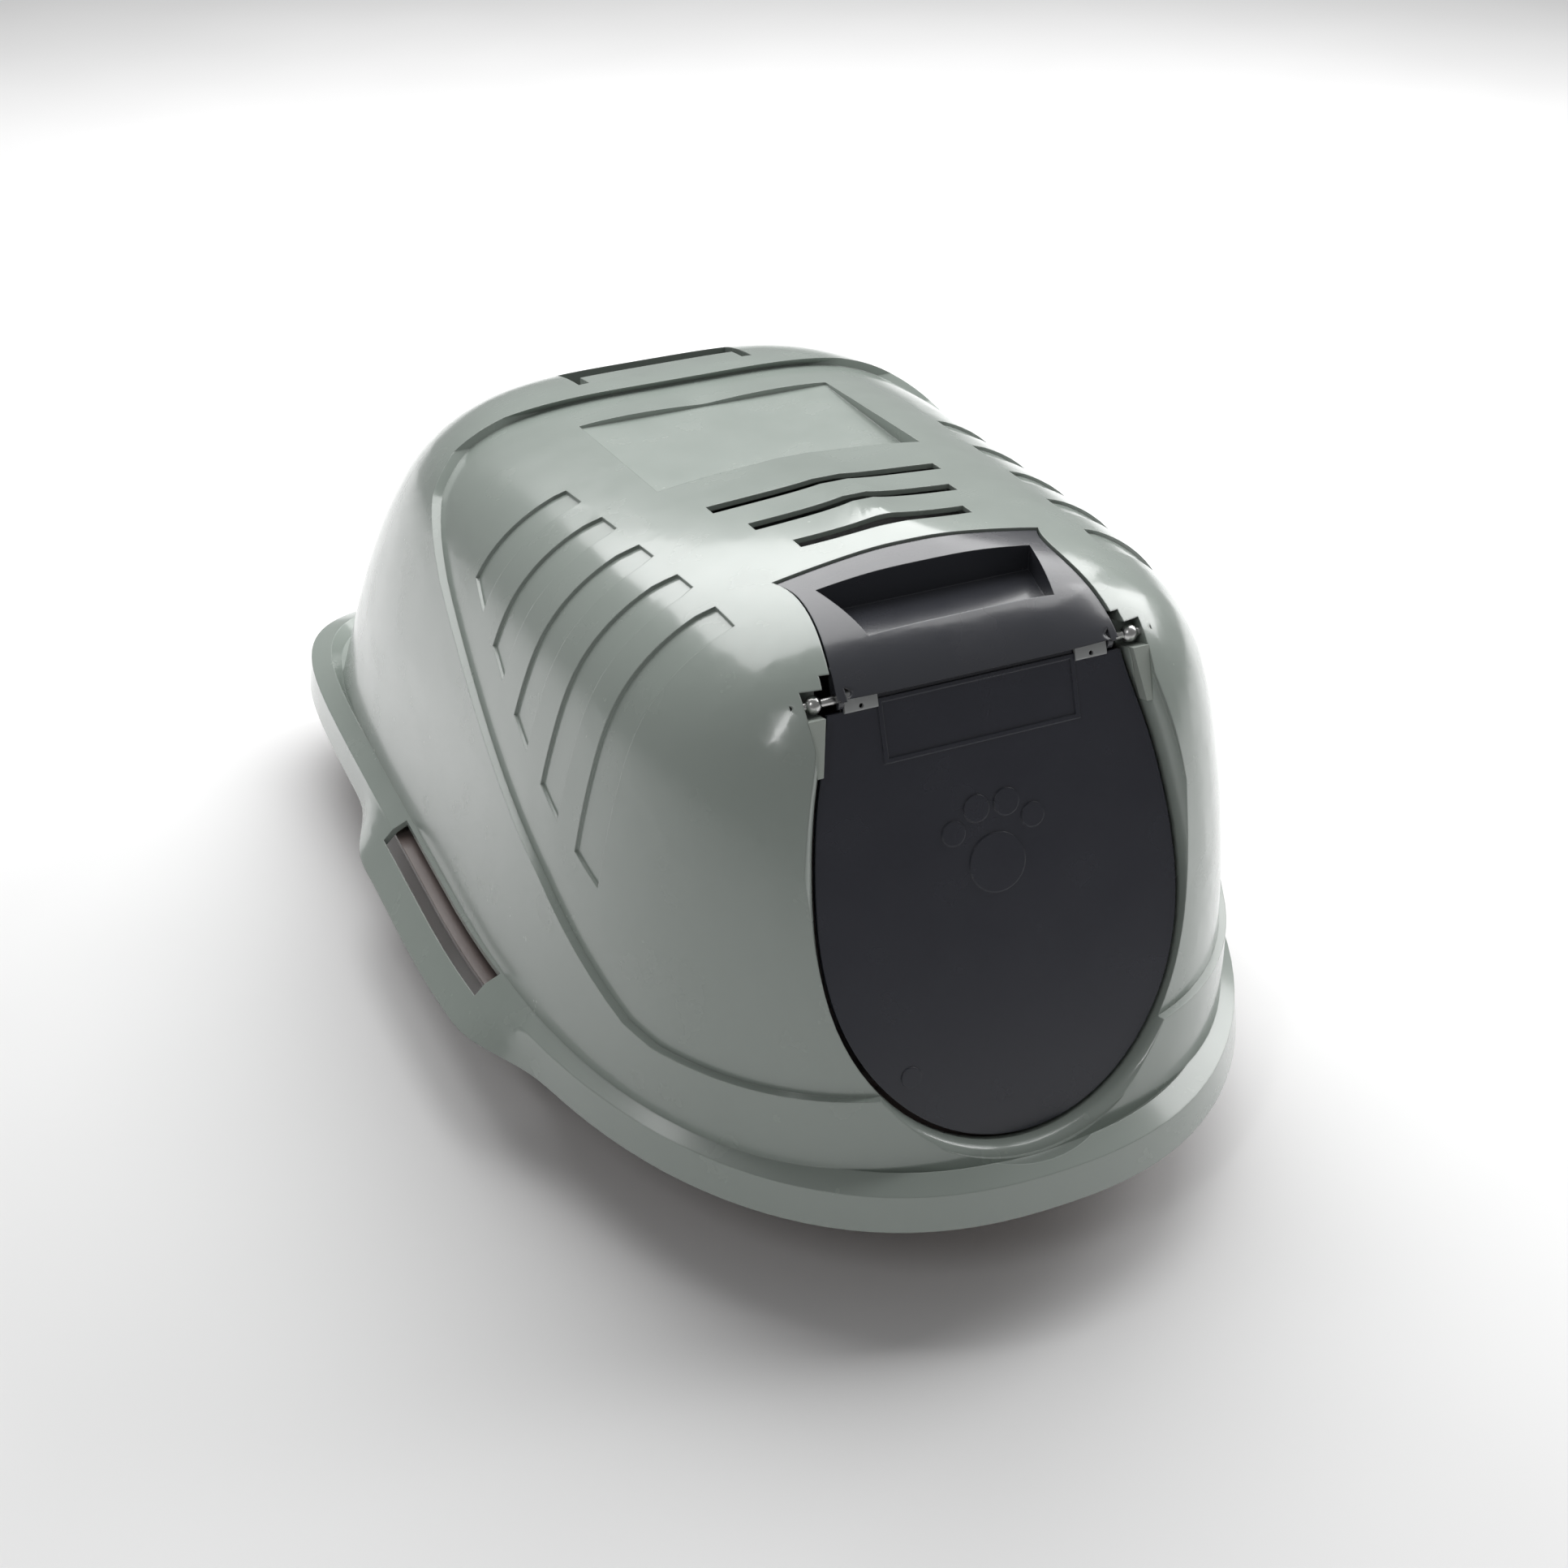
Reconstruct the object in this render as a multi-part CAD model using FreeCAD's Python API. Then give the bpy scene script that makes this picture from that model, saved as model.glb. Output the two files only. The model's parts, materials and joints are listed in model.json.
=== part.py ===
import FreeCAD, Part
import math
import os

V = FreeCAD.Vector

# ---------------------------------------------------------------- main sizes
EDGE_Z = 75.0            # height of the crisp rim edge above the floor
WALL = 2.6               # hood and pan wall
RIM_HALF_WIDTH = 200.0
RIM_FRONT = 325.0        # rim edge ahead of the origin
RIM_REAR = 325.0         # rim edge behind the origin
SKIRT = 19.0             # skirt below the rim edge
SKIRT_FLARE = 2.5
STEP = 3.5               # rear and lower body stands proud of the front body by this

# hood sections, bottom to top: half width, front, rear, z front, z rear, roundness front, rear
HOOD_RINGS = [
    (187.0, 306.0, 296.0, -2.0, -2.0, 2.5, 6.5),
    (179.0, 292.0, 275.0, 60.0, 58.0, 2.9, 5.5),
    (171.0, 279.0, 252.0, 115.0, 108.0, 3.2, 4.8),
    (160.0, 265.0, 233.0, 160.0, 145.0, 3.6, 4.4),
    (147.0, 250.0, 217.0, 195.0, 168.0, 4.0, 4.2),
    (128.0, 234.0, 203.0, 219.0, 184.0, 4.2, 4.0),
    (104.0, 214.0, 184.0, 234.5, 194.5, 4.0, 4.0),
    (76.0, 188.0, 155.0, 241.5, 202.5, 3.6, 4.0),
    (40.0, 155.0, 121.0, 244.8, 207.5, 3.2, 3.8),
    (8.0, 124.0, 92.0, 246.0, 210.0, 2.8, 3.4),
]

# rim and pan outlines
RIM_ROUND_FRONT = 2.34
RIM_ROUND_REAR = 8.0
BAND = 11.0              # width of the sloping top band
BAND_RISE = 5.0
VALLEY = 16.0            # groove between band and hood wall, measured in from the edge
VALLEY_Z = -1.0
GRIP_BULGE = 16.0        # outward lean of the skirt bottom at each grip
GRIP_Y = -8.0
GRIP_FLAT = 78.0         # half length of the straight part of the bulge
GRIP_BLEND = 66.0        # run-out at each end of the bulge
SLOT_HALF = 77.0         # half length of the grip slot
SLOT_IN = 8.5            # slot reach over the band
SLOT_OUT = 5.5           # slot reach over the leaning skirt
SLOT_DOWN = 9.0

# flap, hung on one pin line
HINGE_Y = -224.0
HINGE_Z = EDGE_Z + 213.0
LEAN = math.radians(19.0)
FLAP_T = 2.5
FLAP_SIDE = 90.5         # widest half width
FLAP_MID = 112.0         # distance of the widest level below the pins
FLAP_END = 221.0         # lowest point below the pins
FLAP_GAP = 2.5
LIP = 11.0               # width of the rounded lip around the entry
LIP_BACK = 3.4           # lip depth behind the flap plane
LIP_FLARE = 6.0          # the mouth opens out by this much
LIP_START = 1.0          # where the flare starts, ahead of the flap plane
LIP_RUN = 8.0            # depth of the flare

# hinge parts
PIN_R = 2.0
PIN_FIT = 0.05
BALL_R = 4.2
BALL_X = 78.5
PIN_END = 88.5
ARM_X0 = 49.0
ARM_X1 = 65.0
ARM_T = 3.0
ARM_SWEEP = 7.8          # relief in the visor for the turning arms
ARM_HOLE_X = 57.0
ARM_HOLE_S = 4.3
ARM_HOLE_R = 1.1
LUG_X0 = 65.4
LUG_X1 = 68.0
LUG_R = 4.6
KEEPER_BACK = 1.0
KEEPER_FACE = 7.5

# visor
VISOR_SIDE = ((66.5, -157.0), (63.5, -166.0), (63.0, -184.0), (66.0, -208.0), (70.0, -236.0))
VISOR_GAP = 1.3
VISOR_SINK = 0.9
VISOR_T = 2.4
VISOR_END = -1.0         # lower edge, just above the pin line
DISH_HALF = (46.0, 54.0)    # half width at the front and at the rear
DISH_Y0 = -211.0
DISH_Y1 = -173.0
DISH_FLOOR = EDGE_Z + 226.0

# vents, recess and rear handle
VENTS = ((-70.0, 61.0), (-103.0, 53.0), (-135.0, 44.0))
VENT_W = 9.5
VENT_BOW = 5.0
RECESS_HALF = 72.0
RECESS_Y0 = -24.0
RECESS_Y1 = 92.0
RECESS_DEPTH = 13.0
HANDLE_HALF = 52.0
HANDLE_Y0 = 164.0
HANDLE_Y1 = 189.0
HANDLE_LEG = 6.0
HANDLE_LEG_Y = 149.0

# side flutes
FLUTES = (16.0, -29.0, -73.0, -116.0, -157.0)
FLUTE_HALF = 11.0
FLUTE_DEPTH = 1.3
FLUTE_INNER = (107.0, 91.5)   # the flutes run out this far from the middle, rear and front

# filter below the vents
FILTER_HALF = 64.0
FILTER_Y0 = -143.0
FILTER_Y1 = -55.0
FILTER_Z = EDGE_Z + 205.0
FILTER_T = 8.0
HOLDER_WALL = 2.0
HOLDER_H = 15.0

# pan sections, bottom to top: half width, front, rear, height above the pan floor level
PAN_RINGS = [
    (148.0, 240.0, 254.0, 0.0),
    (157.0, 252.0, 262.0, 18.0),
    (167.0, 274.0, 272.0, 48.0),
    (172.0, 286.0, 277.0, 73.0),
    (171.5, 282.0, 275.0, 95.0),
    (171.0, 279.0, 272.0, 111.0),
]
PAN_FLOOR = 6.0          # floor plate, with the foot pocket below it
PAN_LIP = 3.0            # lip round the top of the pan wall
FOOT_IN = 12.0
FOOT_DEEP = 3.0
FLANGE_TOP = -5.5
FLANGE_T = 3.0
FLANGE_IN = 4.5          # pan flange edge, in from the rim edge
FLANGE_BULGE = 0.15      # share of the skirt lean that the flange follows at the grips
REST_PADS = ((40.0, -302.0, -3.9), (90.0, 301.0, -3.9))    # x, y and top of the pads under the hood
REST_PAD = 3.0           # half size of a pad


# ---------------------------------------------------------------- helpers
def ring_curve(half, front, rear, z_front, z_rear, n_front, n_rear, count=40, bulge=0.0):
    """Closed curve: squared oval in plan, in a plane that may slope front to rear."""
    points = []
    for i in range(count):
        t = 2.0 * math.pi * (i + 0.5) / count
        c = math.cos(t)
        s = math.sin(t)
        n = n_front if s < 0 else n_rear
        reach = front if s < 0 else rear
        r = (abs(c) ** n + abs(s) ** n) ** (-1.0 / n)
        x = half * c * r
        y = reach * s * r
        x += math.copysign(bulge * grip_shape(y), x)
        z = z_front + (z_rear - z_front) * (y + front) / (front + rear)
        points.append(V(x, y, z + EDGE_Z))
    curve = Part.BSplineCurve()
    knots = [float(i) for i in range(count + 1)]
    curve.interpolate(Points=points, PeriodicFlag=True, Parameters=knots)
    return curve


def skin_solid(curves):
    """Smooth closed solid through a stack of closed flat curves, with flat ends."""
    count = curves[0].NbPoles
    stack = [curve.getPoles() for curve in curves]
    levels = [0.0]
    for low, high in zip(stack, stack[1:]):
        levels.append(levels[-1] + sum((b - a).Length for a, b in zip(low, high)) / count)
    rows = []
    for j in range(count):
        rib = Part.BSplineCurve()
        rib.interpolate(Points=[poles[j] for poles in stack], Parameters=levels)
        rows.append(rib.getPoles())
    skin = Part.BSplineSurface()
    skin.buildFromPolesMultsKnots(rows, curves[0].getMultiplicities(), rib.getMultiplicities(),
                                  curves[0].getKnots(), rib.getKnots(), True, False,
                                  curves[0].Degree, rib.Degree)
    side = skin.toShape()
    ends = [Part.Face(Part.Wire([edge])) for edge in side.Edges if edge.isClosed()]
    shell = Part.Shell([side] + ends)
    shell.sewShape()
    return Part.Solid(shell)


def straight_loft(curves):
    """Ruled solid, with a crisp edge at every curve."""
    return Part.makeLoft([Part.Wire([curve.toShape()]) for curve in curves], True, True)


def grip_shape(y):
    """0 away from the grip, 1 along it, smooth between."""
    u = (GRIP_FLAT + GRIP_BLEND - abs(y - GRIP_Y)) / GRIP_BLEND
    u = max(0.0, min(1.0, u))
    return u * u * (3.0 - 2.0 * u)


def body_solid(grow, floor=None):
    """Hood body through all sections, grown or shrunk by one distance."""
    curves = []
    for half, front, rear, z0, z1, n0, n1 in HOOD_RINGS:
        lift = grow * max(0.0, min(1.0, (z0 - 60.0) / 175.0))
        curves.append(ring_curve(half + grow, front + grow, rear + grow, z0 + lift, z1 + lift, n0, n1))
    body = skin_solid(curves)
    if floor is not None:
        half, front, rear, z0, z1, n0, n1 = HOOD_RINGS[0]
        low = ring_curve(half + grow, front + grow, rear + grow, floor, floor, n0, n1)
        body = body.fuse(straight_loft([low, curves[0]]))
    return body


def rim_curve(inset, z, bulge):
    return ring_curve(RIM_HALF_WIDTH - inset, RIM_FRONT - inset, RIM_REAR - inset, z, z,
                     RIM_ROUND_FRONT, RIM_ROUND_REAR, 96, GRIP_BULGE * bulge)


def box(x0, x1, y0, y1, z0, z1):
    return Part.makeBox(x1 - x0, y1 - y0, z1 - z0, V(x0, y0, z0))


def side_prism(points, x0, x1):
    """Closed polygon of (y, z) run along X."""
    wire = Part.makePolygon([V(x0, y, z) for y, z in points + [points[0]]])
    return Part.Face(wire).extrude(V(x1 - x0, 0, 0))


def x_cylinder(x0, x1, y, z, radius):
    return Part.makeCylinder(radius, x1 - x0, V(x0, y, z), V(1, 0, 0))


def on_flap(x, s, n=0.0):
    """Point in the flap plane: x across, s down from the pins, n forward."""
    down = V(0, -math.sin(LEAN), -math.cos(LEAN))
    out = V(0, -math.cos(LEAN), math.sin(LEAN))
    return V(x, HINGE_Y, HINGE_Z) + down * s + out * n


def flap_prism(wire_at, n0, n1):
    """Solid between two levels in front of the flap plane."""
    out = on_flap(0, 0, 1) - on_flap(0, 0, 0)
    return Part.Face(wire_at(n0)).extrude(out * (n1 - n0))


def flap_block(x0, x1, s0, s1, n0, n1):
    def wire_at(n):
        corners = [on_flap(x0, s0, n), on_flap(x1, s0, n), on_flap(x1, s1, n), on_flap(x0, s1, n)]
        return Part.makePolygon(corners + corners[:1])
    return flap_prism(wire_at, n0, n1)


def entry_outline(grow, top):
    """Flap shape: narrow at the pins, full at mid height, round at the bottom."""
    half = [(71.5, top), (74.5, 14.0), (82.0, 42.0), (88.5, 78.0)]
    side = [(x + grow, s) for x, s in half]
    for degrees in (0, 20, 38, 55, 72):
        t = math.radians(degrees)
        x = (FLAP_SIDE + grow) * math.cos(t)
        side.append((x, FLAP_MID + (FLAP_END - FLAP_MID + grow) * math.sin(t)))
    bottom = [(0.0, FLAP_END + grow)]
    loop = side + bottom + [(-x, s) for x, s in reversed(side)]

    def wire_at(n):
        curve = Part.BSplineCurve()
        curve.interpolate([on_flap(x, s, n) for x, s in loop])
        lid = Part.makeLine(on_flap(loop[-1][0], top, n), on_flap(loop[0][0], top, n))
        return Part.Wire([curve.toShape(), lid])
    return wire_at


def entry_mouth():
    """Bell-mouthed cutter for the entry: straight behind the flap, flared in front."""
    levels = [(-60.0, 0.0), (LIP_START, 0.0)]
    for degrees in (30, 50, 65, 80, 90):
        t = math.radians(degrees)
        levels.append((LIP_START + LIP_RUN * math.sin(t), LIP_FLARE * (1.0 - math.cos(t))))
    levels.append((60.0, LIP_FLARE))
    return Part.makeLoft([entry_outline(FLAP_GAP + g, -12.0)(n) for n, g in levels], True, True)


def mirrored(shape):
    return shape.mirror(V(0, 0, 0), V(1, 0, 0))


def save(name, shape):
    shape = shape.removeSplitter() if shape.ShapeType != "Compound" else shape
    shape.exportStep(os.path.join("parts", name + ".step"))
    box_ = shape.BoundBox
    print("%-18s solids %d valid %s  x %.1f..%.1f  y %.1f..%.1f  z %.1f..%.1f" % (
        name, len(shape.Solids), shape.isValid(), box_.XMin, box_.XMax,
        box_.YMin, box_.YMax, box_.ZMin, box_.ZMax))


# ---------------------------------------------------------------- hood
def rim_solid():
    curves = [rim_curve(-SKIRT_FLARE, -SKIRT, 1.0), rim_curve(0.0, 0.0, 0.0),
              rim_curve(BAND, BAND_RISE, 0.0), rim_curve(VALLEY, VALLEY_Z, 0.0)]
    return straight_loft(curves)


def rim_hollow():
    curves = [rim_curve(WALL - SKIRT_FLARE, -SKIRT - 1.0, 1.0), rim_curve(WALL, -WALL, 0.0),
              rim_curve(BAND + 1.2, BAND_RISE - WALL - 0.4, 0.0),
              rim_curve(VALLEY + 2.5, VALLEY_Z - WALL, 0.0)]
    return straight_loft(curves)


def lower_region():
    """Everything behind and below the style line, seen from the side."""
    line = [(-360.0, 41.0), (-214.0, 41.0), (-196.0, 45.0), (-120.0, 84.0), (60.0, 152.0),
            (112.0, 175.0), (130.0, 190.0), (133.0, 203.0), (124.0, 216.0), (120.0, 290.0)]
    line = [(y, z + EDGE_Z) for y, z in line]
    return side_prism(line + [(360.0, EDGE_Z + 290.0), (360.0, 0.0), (-360.0, 0.0)], -260.0, 260.0)


def flute_region():
    shape = None
    for y in FLUTES:
        low = EDGE_Z + 159.0 + 0.33 * y
        high = EDGE_Z + 213.5 - 0.1 * y
        slot = side_prism([(y - FLUTE_HALF, low - 4.0), (y + FLUTE_HALF, low + 4.0),
                           (y + FLUTE_HALF - 5.0, high - 4.0), (y, high + 7.0),
                           (y - 10.0, high + 8.0), (y - FLUTE_HALF - 5.0, high)],
                          -260.0, 260.0)
        shape = slot if shape is None else shape.fuse(slot)
    rear, front = FLUTE_INNER
    plan = [V(rear, 60.0, 0), V(-rear, 60.0, 0), V(-front, -200.0, 0), V(front, -200.0, 0), V(rear, 60.0, 0)]
    return shape.cut(Part.Face(Part.makePolygon(plan)).extrude(V(0, 0, 400.0)))


def grip_slot(side):
    outer = straight_loft([rim_curve(-SLOT_OUT, -SLOT_DOWN, 0.0), rim_curve(-SLOT_OUT, 12.0, 0.0)])
    inner = straight_loft([rim_curve(SLOT_IN, -SLOT_DOWN - 1.0, 0.0), rim_curve(SLOT_IN, 13.0, 0.0)])
    reach = box(150.0, 260.0, GRIP_Y - SLOT_HALF, GRIP_Y + SLOT_HALF, 0.0, 200.0)
    slot = outer.cut(inner).common(reach)
    return slot if side > 0 else mirrored(slot)


def vent_slot(y, half):
    """Slightly bowed slot straight down through the roof."""
    def edge(offset):
        return Part.Arc(V(-half, y + offset + VENT_BOW, 0), V(0, y + offset, 0),
                        V(half, y + offset + VENT_BOW, 0)).toShape()
    near = edge(-VENT_W / 2)
    far = edge(VENT_W / 2)
    ends = [Part.makeLine(near.valueAt(near.LastParameter), far.valueAt(far.LastParameter)),
            Part.makeLine(near.valueAt(near.FirstParameter), far.valueAt(far.FirstParameter))]
    wire = Part.Wire(Part.__sortEdges__([near, ends[0], far, ends[1]]))
    slot = Part.Face(wire).extrude(V(0, 0, 120.0))
    slot.translate(V(0, 0, EDGE_Z + 205.0))
    return slot


def recess_wedge(extra):
    """Sloping recess: level with the roof at the rear, deepest at the front."""
    low = EDGE_Z + 228.0 - RECESS_DEPTH - extra
    high = EDGE_Z + 208.5 - extra
    half = RECESS_HALF + extra
    profile = [(RECESS_Y0 - extra, low), (RECESS_Y1 + extra, high),
               (RECESS_Y1 + extra, EDGE_Z + 300.0), (RECESS_Y0 - extra, EDGE_Z + 300.0)]
    return side_prism(profile, -half, half)


def handle_slot():
    slot = box(-HANDLE_HALF, HANDLE_HALF, HANDLE_Y0, HANDLE_Y1, EDGE_Z + 150.0, EDGE_Z + 260.0)
    for x in (-HANDLE_HALF, HANDLE_HALF - HANDLE_LEG):
        slot = slot.fuse(box(x, x + HANDLE_LEG, HANDLE_LEG_Y, HANDLE_Y1,
                             EDGE_Z + 150.0, EDGE_Z + 260.0))
    return slot


def keeper_block(n0, n1):
    corners = [(76.0, 5.4), (84.2, 5.4), (83.6, 31.0), (80.6, 31.0)]

    def wire_at(n):
        points = [on_flap(x, s, n) for x, s in corners]
        return Part.makePolygon(points + points[:1])
    return flap_prism(wire_at, n0, n1)


def visor_plan(grow):
    """Visor outline from above: flared corners, narrow neck, wide at the pins."""
    rear = VISOR_SIDE[0][1] + grow
    front = VISOR_SIDE[-1][1] - 40.0
    points = [(VISOR_SIDE[0][0] + grow, rear)]
    points += [(x + grow, y) for x, y in VISOR_SIDE[1:]]
    low = EDGE_Z + 200.0
    right = Part.BSplineCurve()
    right.interpolate([V(x, y, low) for x, y in points])
    left = Part.BSplineCurve()
    left.interpolate([V(-x, y, low) for x, y in points])
    reach = points[-1][0]
    end = points[-1][1]
    front_edge = Part.makePolygon([V(reach, end, low), V(reach, front, low),
                                   V(-reach, front, low), V(-reach, end, low)])
    rear_edge = Part.makeLine(V(-points[0][0], rear, low), V(points[0][0], rear, low))
    edges = [right.toShape(), left.toShape(), rear_edge] + front_edge.Edges
    return Part.Face(Part.Wire(Part.__sortEdges__(edges))).extrude(V(0, 0, 100.0))


def hood_shell():
    front_body = body_solid(0.0)
    proud_body = body_solid(STEP).common(lower_region())
    outer = front_body.fuse(proud_body).fuse(rim_solid())
    inner = body_solid(-WALL, -SKIRT - 2.0)
    groove_skin = front_body.cut(body_solid(-FLUTE_DEPTH, -SKIRT))
    recess_back = recess_wedge(WALL)
    posts = None
    for x in (-FILTER_HALF - 4.0, FILTER_HALF + 4.0):
        for y in (FILTER_Y0 + 12.0, FILTER_Y1 - 12.0):
            post = Part.makeCylinder(4.0, 60.0, V(x, y, FILTER_Z + HOLDER_H - 2.0))
            posts = post if posts is None else posts.fuse(post)
    hollow = inner.cut(recess_back).cut(posts)
    hood = outer.cut(hollow).cut(rim_hollow())
    lip = flap_prism(entry_outline(FLAP_GAP + LIP, -10.0), -LIP_BACK, 40.0)
    lip = lip.cut(flap_prism(entry_outline(FLAP_GAP, -12.0), -10.0, 50.0)).common(outer)
    lip = lip.common(box(-150.0, 150.0, -360.0, -150.0, EDGE_Z + VALLEY_Z - WALL, EDGE_Z + 260.0))
    boss = flap_block(73.5, 97.0, -13.0, 10.0, -9.0, 40.0)
    boss = boss.fuse(mirrored(boss)).common(front_body)
    hood = hood.fuse(lip).fuse(boss)
    hood = hood.cut(entry_mouth())
    hood = hood.cut(visor_plan(VISOR_GAP))
    for side in (1, -1):
        pocket = flap_block(70.0, 84.0, -6.6, 5.4, -7.0, 40.0)
        bore = x_cylinder(78.0, PIN_END + 1.0, HINGE_Y, HINGE_Z, PIN_R + PIN_FIT)
        keeper = keeper_block(KEEPER_BACK, 40.0)
        for tool in (pocket, bore, keeper):
            hood = hood.cut(tool if side > 0 else mirrored(tool))
        hood = hood.cut(grip_slot(side))
    hood = hood.cut(groove_skin.common(flute_region()))
    hood = hood.cut(recess_wedge(0.0))
    for y, half in VENTS:
        hood = hood.cut(vent_slot(y, half))
    return hood.cut(handle_slot())


# ---------------------------------------------------------------- moving parts
def paw_mark(n0, n1):
    """Plain raised paw: one pad and four toes."""
    shape = None
    out = on_flap(0, 0, 1) - on_flap(0, 0, 0)
    for x, s, r in ((0, 90, 14), (-20, 72, 5.8), (-7.5, 63, 6.4), (7.5, 63, 6.4), (20, 72, 5.8)):
        dot = Part.makeCylinder(r, n1 - n0, on_flap(x, s, n0), out)
        shape = dot if shape is None else shape.fuse(dot)
    return shape


def arm_hole():
    out = on_flap(0, 0, 1) - on_flap(0, 0, 0)
    return Part.makeCylinder(ARM_HOLE_R, 20.0, on_flap(ARM_HOLE_X, ARM_HOLE_S, -10.0), out)


def entry_flap():
    face = FLAP_T / 2
    flap = flap_prism(entry_outline(0.0, -1.5), -face, face)
    for side in (1, -1):
        notch = flap_block(ARM_X0 - 0.4, 90.0, -5.0, 2.6, -5.0, 5.0)
        notch = notch.fuse(flap_block(ARM_X1 + 0.1, 90.0, -5.0, LUG_R + 1.2, -5.0, 5.0))
        flap = flap.cut(notch if side > 0 else mirrored(notch))
    frame = flap_block(-49.0, 49.0, 3.0, 33.0, face - 0.2, face + 0.8)
    frame = frame.cut(flap_block(-46.8, 46.8, 5.2, 30.8, 0.0, 5.0))
    flap = flap.fuse(frame).fuse(paw_mark(face - 0.2, face + 0.7))
    boss = Part.makeCylinder(5.0, face + 0.5, on_flap(-55.0, 180.0, 0.0), on_flap(0, 0, 1) - on_flap(0, 0, 0))
    hole = arm_hole()
    return flap.fuse(boss).cut(hole).cut(mirrored(hole))


def hinge_arm():
    """Short clip over the flap corner, bored for the pin."""
    face = FLAP_T / 2
    arm = flap_block(ARM_X0, ARM_X1, -3.4, 6.6, -ARM_T, ARM_T)
    arm = arm.makeFillet(1.0, [e for e in arm.Edges if abs(e.Length - (ARM_X1 - ARM_X0)) < 0.01])
    arm = arm.cut(flap_block(0.0, 90.0, 2.6, 20.0, -face, face))
    arm = arm.cut(x_cylinder(ARM_X0 + 2.0, ARM_X1 + 1.0, HINGE_Y, HINGE_Z, PIN_R))
    return arm.cut(arm_hole())


def hinge_pin():
    """Ball-headed pin turned in one piece about the hinge line."""
    x0 = ARM_X0 + 2.0
    reach = math.sqrt(BALL_R ** 2 - PIN_R ** 2)
    corners = [(x0, 0.0), (x0, PIN_R), (BALL_X - reach, PIN_R)]
    head = [(BALL_X + reach, PIN_R), (PIN_END, PIN_R), (PIN_END, 0.0), (x0, 0.0)]

    def place(x, r):
        return V(x, HINGE_Y, HINGE_Z + r)
    first = Part.makePolygon([place(x, r) for x, r in corners])
    ball = Part.Arc(place(*corners[-1]), place(BALL_X, BALL_R), place(*head[0])).toShape()
    last = Part.makePolygon([place(x, r) for x, r in head])
    wire = Part.Wire(first.Edges + [ball] + last.Edges)
    return Part.Face(wire).revolve(place(0, 0), V(1, 0, 0), 360.0)


def pin_keeper():
    return keeper_block(KEEPER_BACK, KEEPER_FACE).common(body_solid(0.8))


def dish_block(grow, drop):
    """Finger dish, narrower at the front."""
    front, rear = DISH_HALF
    z = DISH_FLOOR - drop
    plan = [V(-front - grow, DISH_Y0 - grow, z), V(front + grow, DISH_Y0 - grow, z),
            V(rear + grow, DISH_Y1 + grow, z), V(-rear - grow, DISH_Y1 + grow, z)]
    return Part.Face(Part.makePolygon(plan + plan[:1])).extrude(V(0, 0, 60.0))


def front_visor():
    """Roof skin over the flap, with two hooks that drop over the pins."""
    skin = body_solid(-VISOR_SINK)
    under = body_solid(-VISOR_SINK - VISOR_T)
    reach = flap_block(-90.0, 90.0, -120.0, VISOR_END, -60.0, 60.0)
    visor = skin.cut(under).common(reach).common(visor_plan(0.0))
    visor = visor.cut(x_cylinder(-ARM_X1 - 0.2, ARM_X1 + 0.2, HINGE_Y, HINGE_Z, ARM_SWEEP))
    visor = visor.fuse(dish_block(VISOR_T, VISOR_T).common(skin))
    for side in (1, -1):
        lug = x_cylinder(LUG_X0, LUG_X1, HINGE_Y, HINGE_Z, LUG_R)
        neck = flap_block(LUG_X0, LUG_X1, -14.0, 0.0, -4.0, 14.0)
        lug = lug.fuse(neck).common(skin)
        visor = visor.fuse(lug if side > 0 else mirrored(lug))
    visor = visor.cut(dish_block(0.0, 0.0))
    bore = PIN_R + PIN_FIT
    mouth = box(-80.0, 80.0, HINGE_Y - bore, HINGE_Y + bore, HINGE_Z - 2.0 * LUG_R, HINGE_Z)
    return visor.cut(x_cylinder(-80.0, 80.0, HINGE_Y, HINGE_Z, bore)).cut(mouth)


# ---------------------------------------------------------------- filter
def filter_holder():
    half = FILTER_HALF + 6.0 + HOLDER_WALL
    y0 = FILTER_Y0 - 3.0
    y1 = FILTER_Y1 + 3.0
    holder = box(-half, half, y0, y1, FILTER_Z - HOLDER_WALL, FILTER_Z + HOLDER_H - 2.0)
    holder = holder.cut(box(-FILTER_HALF, FILTER_HALF, FILTER_Y0, FILTER_Y1, FILTER_Z, EDGE_Z + 300.0))
    cell = 2.0 * (FILTER_HALF - 3.0) / 6.0
    for i in range(6):
        for j in range(3):
            x = -FILTER_HALF + 4.0 + i * cell
            y = FILTER_Y0 + 4.0 + j * 28.0
            holder = holder.cut(box(x, x + cell - 2.5, y, y + 25.0, FILTER_Z - 10.0, FILTER_Z + 1.0))
    return holder


def carbon_filter():
    gap = 0.5
    return box(-FILTER_HALF + gap, FILTER_HALF - gap, FILTER_Y0 + gap, FILTER_Y1 - gap,
               FILTER_Z, FILTER_Z + FILTER_T)


# ---------------------------------------------------------------- pan
def pan_loft(shrink, raise_by):
    """Pan body, or its hollow when shrunk by the wall and raised by the floor."""
    curves = []
    for half, front, rear, z in PAN_RINGS:
        z = raise_by + z * (1.0 - raise_by / PAN_RINGS[-1][3]) - EDGE_Z
        curves.append(ring_curve(half - shrink, front - shrink, rear - shrink, z, z, 2.5, 6.0))
    return skin_solid(curves)


def pan_band(ring, grow, z0, z1):
    half, front, rear = (size + grow for size in PAN_RINGS[ring][:3])
    return straight_loft([ring_curve(half, front, rear, z, z, 2.5, 6.0) for z in (z0, z1)])


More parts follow.
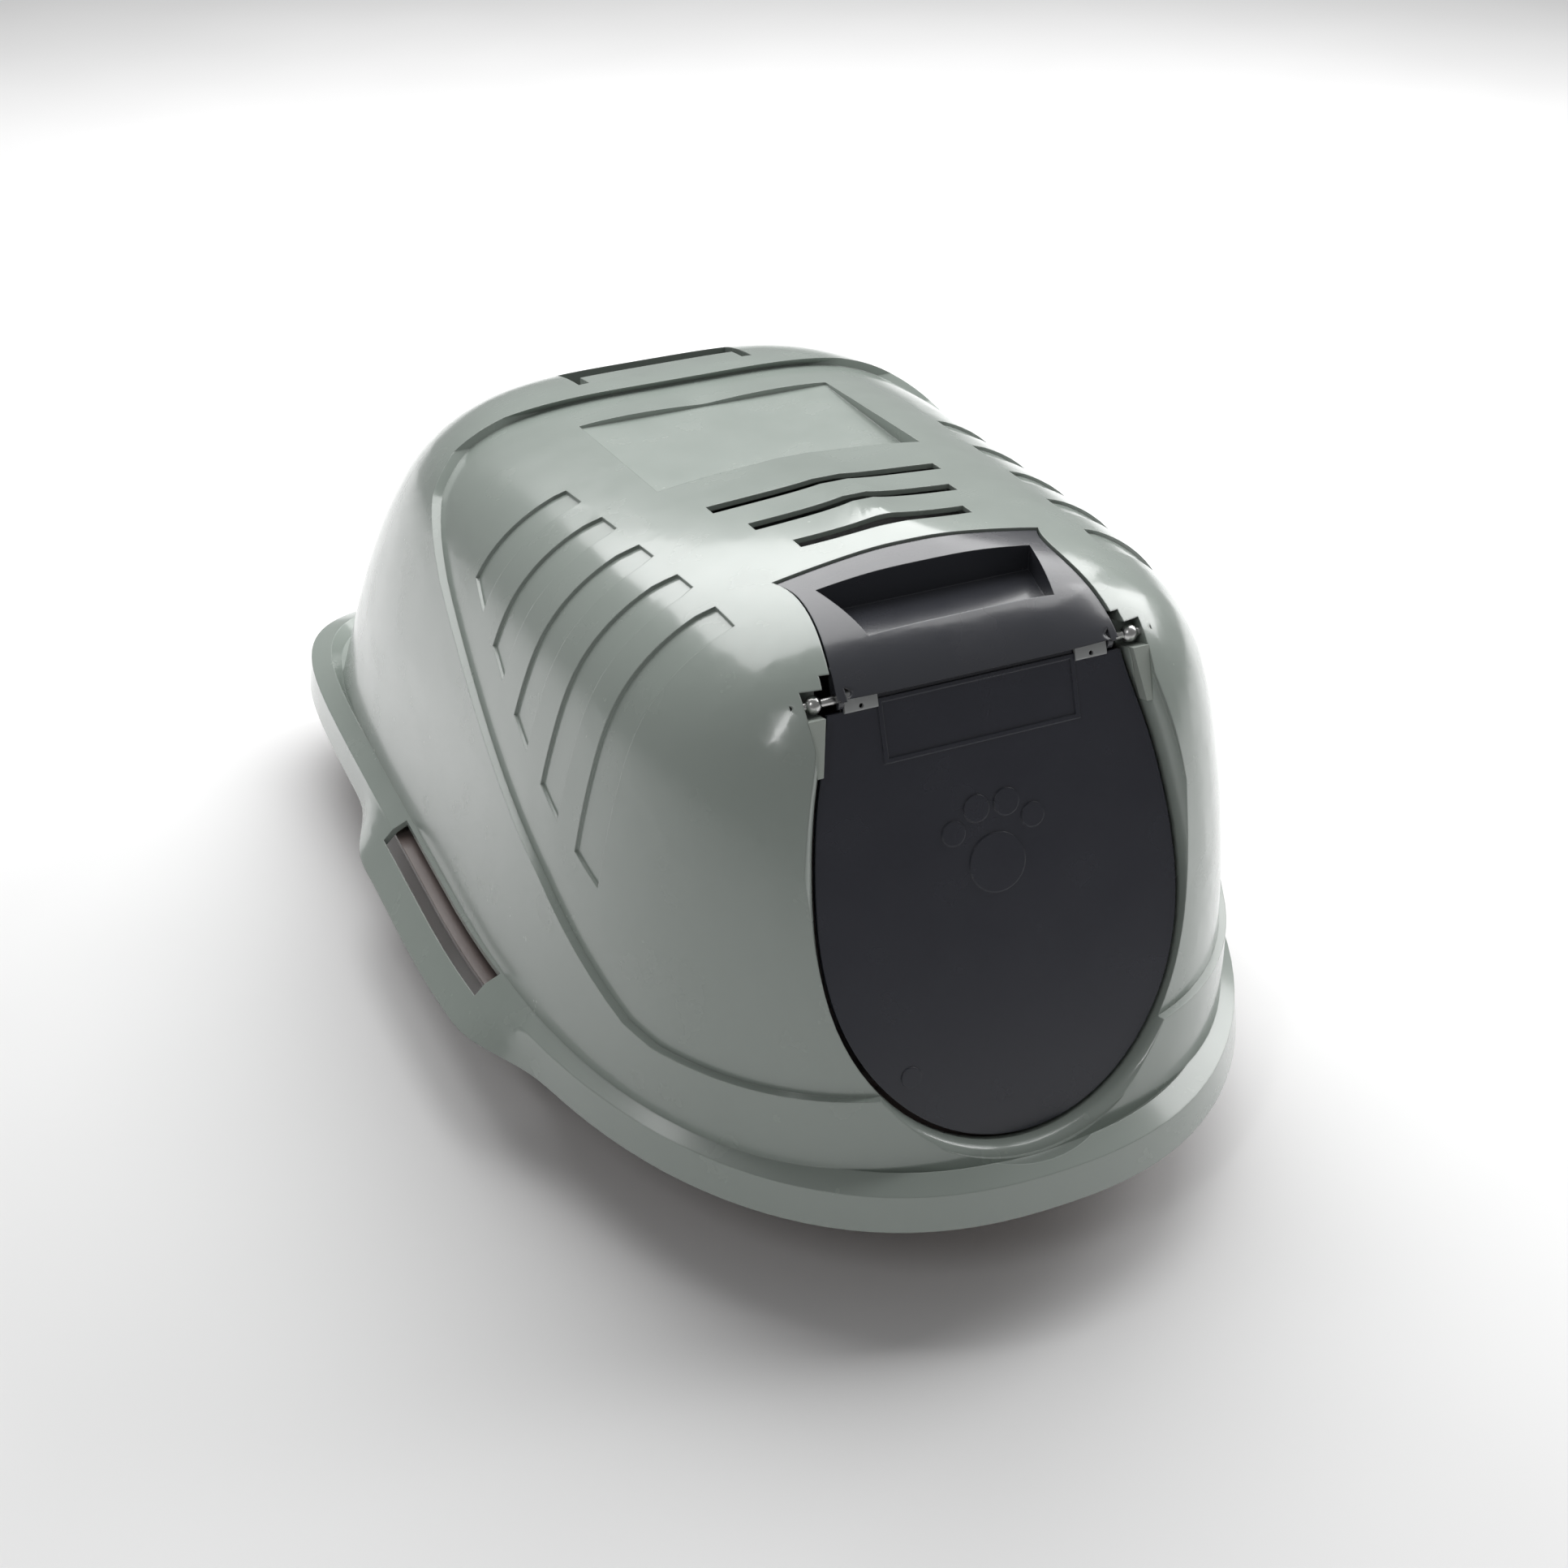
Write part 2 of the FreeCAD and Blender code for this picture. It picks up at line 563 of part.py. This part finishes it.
def base_pan():
    top = PAN_RINGS[-1][3] - EDGE_Z
    flange = straight_loft([rim_curve(FLANGE_IN, FLANGE_TOP - FLANGE_T, FLANGE_BULGE),
                            rim_curve(FLANGE_IN, FLANGE_TOP, FLANGE_BULGE)])
    pan = pan_loft(0.0, 0.0).fuse(flange).fuse(pan_band(-1, PAN_LIP, top - 4.0, top))
    for x, y, z in REST_PADS:
        for side in (x, -x):
            pan = pan.fuse(box(side - REST_PAD, side + REST_PAD, y - REST_PAD, y + REST_PAD,
                               EDGE_Z + FLANGE_TOP - 1.0, EDGE_Z + z))
    pan = pan.cut(pan_loft(WALL, PAN_FLOOR)).cut(pan_band(-1, -WALL, top - 1.0, top + 1.0))
    return pan.cut(pan_band(0, -FOOT_IN, -EDGE_Z - 1.0, FOOT_DEEP - EDGE_Z))


def main():
    os.makedirs("parts", exist_ok=True)
    save("base_pan", base_pan())
    save("carbon_filter", carbon_filter())
    save("filter_holder", filter_holder())
    save("hinge_arm_right", hinge_arm())
    save("hinge_arm_left", mirrored(hinge_arm()))
    save("hinge_pin_right", hinge_pin())
    save("hinge_pin_left", mirrored(hinge_pin()))
    save("pin_keeper_right", pin_keeper())
    save("pin_keeper_left", mirrored(pin_keeper()))
    save("entry_flap", entry_flap())
    save("front_visor", front_visor())
    save("hood_shell", hood_shell())


main()
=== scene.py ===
import json
import math

import bmesh
import bpy
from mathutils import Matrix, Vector

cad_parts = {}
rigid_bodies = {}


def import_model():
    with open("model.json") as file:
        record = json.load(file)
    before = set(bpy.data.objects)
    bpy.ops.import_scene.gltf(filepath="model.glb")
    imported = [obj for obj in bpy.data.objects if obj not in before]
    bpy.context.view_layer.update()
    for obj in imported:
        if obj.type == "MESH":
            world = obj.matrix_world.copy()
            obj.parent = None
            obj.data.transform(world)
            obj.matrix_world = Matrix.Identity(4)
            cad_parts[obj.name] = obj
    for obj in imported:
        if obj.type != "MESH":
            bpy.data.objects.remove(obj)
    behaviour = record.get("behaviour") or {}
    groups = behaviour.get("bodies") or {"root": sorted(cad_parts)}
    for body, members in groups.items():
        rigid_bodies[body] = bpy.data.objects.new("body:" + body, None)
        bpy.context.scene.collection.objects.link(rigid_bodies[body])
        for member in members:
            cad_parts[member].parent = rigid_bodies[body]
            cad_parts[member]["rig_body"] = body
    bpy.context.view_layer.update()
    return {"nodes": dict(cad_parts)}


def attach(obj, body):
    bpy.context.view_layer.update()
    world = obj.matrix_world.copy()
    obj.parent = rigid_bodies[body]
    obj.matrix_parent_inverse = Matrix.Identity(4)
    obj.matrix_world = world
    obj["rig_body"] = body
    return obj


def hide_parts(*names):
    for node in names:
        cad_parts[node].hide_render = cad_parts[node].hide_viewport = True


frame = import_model()
scene = bpy.context.scene

MERGE_GAP = 0.000005      # points of a node closer than this are one point
SHARP_ANGLE = 28.0        # edges turned more than this stay crisp
GLOSS_DROP = 0.04         # the gloss wanders this far below and above its middle value
GLOSS_RISE = 0.06
RELIEF_DEPTH = 0.0004     # height of the moulded grain
EDGE_SAMPLES = 6
EDGE_HIGHLIGHT_START = 0.95         # the painted edge highlight starts at this agreement of the two normals
# the painted edge highlight is full at this agreement of the two normals
EDGE_HIGHLIGHT_FULL = 0.72
SPECK_SCALE = 240.0
GLOSS_SCALE = 38.0
FLOOR_REACH = 6.0
CAMERA_PLACE = (-0.4511, -1.0417, 0.8310)
CAMERA_AIM = (0.0, -0.0151, 0.1028)
CAMERA_LENS = 55.90


# ---------------------------------------------------------------- materials
def link(tree, a, out, b, into):
    tree.links.new(a.outputs[out], b.inputs[into])


def base_nodes(name):
    """Empty node material with an output, a shader and object coordinates."""
    mat = bpy.data.materials.new(name)
    mat.use_nodes = True
    tree = mat.node_tree
    tree.nodes.clear()
    out = tree.nodes.new("ShaderNodeOutputMaterial")
    shader = tree.nodes.new("ShaderNodeBsdfPrincipled")
    coord = tree.nodes.new("ShaderNodeTexCoord")
    link(tree, shader, "BSDF", out, "Surface")
    return mat, tree, out, shader, coord


def noise(tree, coord, scale, detail):
    node = tree.nodes.new("ShaderNodeTexNoise")
    node.inputs["Scale"].default_value = scale
    node.inputs["Detail"].default_value = detail
    link(tree, coord, "Object", node, "Vector")
    return node


def ramp(tree, source, out, low, high, place=(0.3, 0.7)):
    node = tree.nodes.new("ShaderNodeValToRGB")
    node.color_ramp.elements[0].position = place[0]
    node.color_ramp.elements[1].position = place[1]
    node.color_ramp.elements[0].color = (*low, 1.0)
    node.color_ramp.elements[1].color = (*high, 1.0)
    link(tree, source, out, node, "Fac")
    return node


def remap(tree, source, out, low, high, to_low, to_high):
    node = tree.nodes.new("ShaderNodeMapRange")
    node.inputs["From Min"].default_value = low
    node.inputs["From Max"].default_value = high
    node.inputs["To Min"].default_value = to_low
    node.inputs["To Max"].default_value = to_high
    link(tree, source, out, node, "Value")
    return node


def rounded_edges_and_painted_highlight(tree, radius):
    """Softened normal, and a mask that is 1 where edges get a painted highlight."""
    soft = tree.nodes.new("ShaderNodeBevel")
    soft.samples = EDGE_SAMPLES
    soft.inputs["Radius"].default_value = radius
    geometry = tree.nodes.new("ShaderNodeNewGeometry")
    dot = tree.nodes.new("ShaderNodeVectorMath")
    dot.operation = "DOT_PRODUCT"
    link(tree, soft, "Normal", dot, 0)
    link(tree, geometry, "Normal", dot, 1)
    # the mask marks where the paler colour is painted on as an edge highlight
    return soft, remap(tree, dot, "Value", EDGE_HIGHLIGHT_START, EDGE_HIGHLIGHT_FULL, 0.0, 1.0)


def moulded(name, dark, light, edge, rough, grain, bump, radius, coat=0.0, tone_scale=5.0):
    """Moulded plastic: slow tone drift, fine grain, uneven gloss and a painted highlight of paler
    colour along edges, broken into specks.
    """
    mat, tree, out, shader, coord = base_nodes(name)
    drift = noise(tree, coord, tone_scale, 3.0)
    tone = ramp(tree, drift, "Fac", dark, light)
    soft, mask = rounded_edges_and_painted_highlight(tree, radius)
    speck = noise(tree, coord, SPECK_SCALE, 2.0)
    # painted highlight: the paler edge colour is mixed in along edges, in specks
    painted_highlight = tree.nodes.new("ShaderNodeMath")
    painted_highlight.operation = "MULTIPLY"
    link(tree, mask, "Result", painted_highlight, 0)
    link(tree, speck, "Fac", painted_highlight, 1)
    colour = tree.nodes.new("ShaderNodeMix")
    colour.data_type = "RGBA"
    link(tree, painted_highlight, "Value", colour, 0)
    link(tree, tone, "Color", colour, 6)
    colour.inputs[7].default_value = (*edge, 1.0)
    link(tree, colour, 2, shader, "Base Color")
    uneven = noise(tree, coord, GLOSS_SCALE, 4.0)
    gloss = remap(tree, uneven, "Fac", 0.25, 0.75, rough - GLOSS_DROP, rough + GLOSS_RISE)
    link(tree, gloss, "Result", shader, "Roughness")
    fine = noise(tree, coord, grain, 2.0)
    relief = tree.nodes.new("ShaderNodeBump")
    relief.inputs["Strength"].default_value = bump
    relief.inputs["Distance"].default_value = RELIEF_DEPTH
    link(tree, fine, "Fac", relief, "Height")
    link(tree, soft, "Normal", relief, "Normal")
    link(tree, relief, "Normal", shader, "Normal")
    shader.inputs["Coat Weight"].default_value = coat
    shader.inputs["Coat Roughness"].default_value = 0.12
    return mat, tree, out, shader


def smoked(name, dark, light, share):
    """Smoked plastic: dark and glossy, and a little can be seen through it."""
    # the third colour is the painted edge highlight
    mat, tree, out, shader = moulded(name, dark, light, (0.075, 0.078, 0.090),
                                     0.24, 700.0, 0.05, 0.0008, 0.4)
    glass = tree.nodes.new("ShaderNodeBsdfTransparent")
    glass.inputs["Color"].default_value = (0.55, 0.56, 0.62, 1.0)
    both = tree.nodes.new("ShaderNodeMixShader")
    both.inputs["Fac"].default_value = share
    link(tree, shader, "BSDF", both, 1)
    link(tree, glass, "BSDF", both, 2)
    link(tree, both, "Shader", out, "Surface")
    return mat


def turned_metal(name):
    # the third colour is the painted edge highlight
    mat, _, _, shader = moulded(name, (0.55, 0.55, 0.54), (0.66, 0.66, 0.65), (0.8, 0.8, 0.8),
                                0.26, 1500.0, 0.1, 0.0003)
    shader.inputs["Metallic"].default_value = 1.0
    return mat


def felt(name):
    # the third colour is the painted edge highlight
    return moulded(name, (0.010, 0.010, 0.010), (0.035, 0.035, 0.034),
                   (0.06, 0.06, 0.06), 0.92, 900.0, 0.9, 0.0006, 0.0, 160.0)[0]


# the third colour of each plastic is its painted edge highlight
SAGE = moulded("sage_hood_plastic", (0.300, 0.342, 0.312), (0.322, 0.363, 0.333), (0.46, 0.50, 0.46),
               0.24, 420.0, 0.03, 0.0009, 0.7)[0]
PAN = moulded("taupe_pan_plastic", (0.150, 0.118, 0.110), (0.175, 0.140, 0.130), (0.26, 0.22, 0.20),
              0.34, 420.0, 0.08, 0.0012)[0]
KEEPER = moulded("keeper_plastic", (0.40, 0.44, 0.40), (0.44, 0.48, 0.44), (0.55, 0.58, 0.55),
                 0.30, 600.0, 0.06, 0.0006)[0]
ARM = moulded("hinge_arm_plastic", (0.34, 0.35, 0.35), (0.40, 0.41, 0.41), (0.52, 0.53, 0.53),
              0.36, 700.0, 0.08, 0.0005)[0]
HOLDER = moulded("filter_holder_plastic", (0.20, 0.22, 0.205), (0.24, 0.26, 0.245), (0.33, 0.35, 0.33),
                 0.42, 500.0, 0.1, 0.0006)[0]
FLAP = smoked("smoked_flap_plastic", (0.028, 0.030, 0.042), (0.034, 0.036, 0.050), 0.10)
VISOR = smoked("smoked_visor_plastic", (0.038, 0.040, 0.048), (0.046, 0.048, 0.057), 0.02)
PIN = turned_metal("pin_metal")
FELT = felt("carbon_felt")


# ---------------------------------------------------------------- pieces
def carried(node, material):
    """A smooth, merged copy of a node, shown in its place."""
    source = frame["nodes"][node]
    piece = bpy.data.objects.new(node + "_skin", source.data.copy())
    scene.collection.objects.link(piece)
    stored = piece.data.attributes.get("custom_normal")
    if stored:
        piece.data.attributes.remove(stored)
    mesh = bmesh.new()
    mesh.from_mesh(piece.data)
    bmesh.ops.remove_doubles(mesh, verts=mesh.verts, dist=MERGE_GAP)
    mesh.to_mesh(piece.data)
    mesh.free()
    piece.data.shade_smooth()
    piece.data.set_sharp_from_angle(angle=math.radians(SHARP_ANGLE))
    even = piece.modifiers.new("even_normals", "WEIGHTED_NORMAL")
    even.mode = "FACE_AREA_WITH_ANGLE"
    even.keep_sharp = True
    piece.data.materials.clear()
    piece.data.materials.append(material)
    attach(piece, source["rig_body"])
    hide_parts(node)


LOOKS = (
    ("base_pan", PAN, "pan_plastic"),
    ("hood_shell", SAGE, "hood_plastic"),
    ("entry_flap", FLAP, "smoked_plastic"),
    ("front_visor", VISOR, "smoked_plastic"),
    ("hinge_arm_left", ARM, "arm_plastic"),
    ("hinge_arm_right", ARM, "arm_plastic"),
    ("hinge_pin_left", PIN, "pin_steel"),
    ("hinge_pin_right", PIN, "pin_steel"),
    ("pin_keeper_left", KEEPER, "keeper_plastic"),
    ("pin_keeper_right", KEEPER, "keeper_plastic"),
    ("filter_holder", HOLDER, "holder_plastic"),
    ("carbon_filter", FELT, "carbon_felt"),
)
for node, material, slot in LOOKS:
    carried(node, material)


# ---------------------------------------------------------------- floor, light and camera
def floor_piece():
    mesh = bmesh.new()
    bmesh.ops.create_grid(mesh, x_segments=2, y_segments=2, size=FLOOR_REACH)
    data = bpy.data.meshes.new("studio_floor")
    mesh.to_mesh(data)
    mesh.free()
    piece = bpy.data.objects.new("studio_floor", data)
    scene.collection.objects.link(piece)
    mat, tree, _, shader, coord = base_nodes("studio_floor")
    drift = noise(tree, coord, 3.0, 2.0)
    tone = ramp(tree, drift, "Fac", (0.86, 0.86, 0.86), (0.90, 0.90, 0.90))
    link(tree, tone, "Color", shader, "Base Color")
    shader.inputs["Roughness"].default_value = 0.9
    data.materials.append(mat)


def soft_light(name, place, aim, size, power):
    data = bpy.data.lights.new(name, "AREA")
    data.shape = "RECTANGLE"
    data.size = size[0]
    data.size_y = size[1]
    data.energy = power
    lamp = bpy.data.objects.new(name, data)
    scene.collection.objects.link(lamp)
    lamp.location = place
    lamp.rotation_euler = (Vector(aim) - Vector(place)).to_track_quat("-Z", "Y").to_euler()


def studio():
    floor_piece()
    soft_light("top_softbox", (0.35, 0.9, 1.6), (0.0, 0.0, 0.2), (2.4, 1.8), 50.0)
    soft_light("right_softbox", (1.5, 0.1, 1.1), (0.0, -0.1, 0.2), (0.9, 0.9), 12.0)
    soft_light("front_strip", (-0.95, -0.95, 1.35), (0.0, -0.2, 0.2), (0.12, 0.5), 2.0)
    world = bpy.data.worlds.new("studio_world")
    scene.world = world
    world.use_nodes = True
    back = world.node_tree.nodes["Background"]
    back.inputs["Color"].default_value = (1.0, 1.0, 1.0, 1.0)
    back.inputs["Strength"].default_value = 0.20


def camera():
    data = bpy.data.cameras.new("main_camera")
    view = bpy.data.objects.new("main_camera", data)
    scene.collection.objects.link(view)
    place = Vector(CAMERA_PLACE)
    aim = Vector(CAMERA_AIM)
    view.location = place
    view.rotation_euler = (aim - place).to_track_quat("-Z", "Y").to_euler()
    data.lens = CAMERA_LENS
    data.sensor_width = 36.0
    data.clip_start = 0.05
    data.clip_end = 50.0
    scene.camera = view


studio()
camera()
scene.view_settings.view_transform = "Standard"
scene.view_settings.look = "None"
scene.view_settings.exposure = 0.0
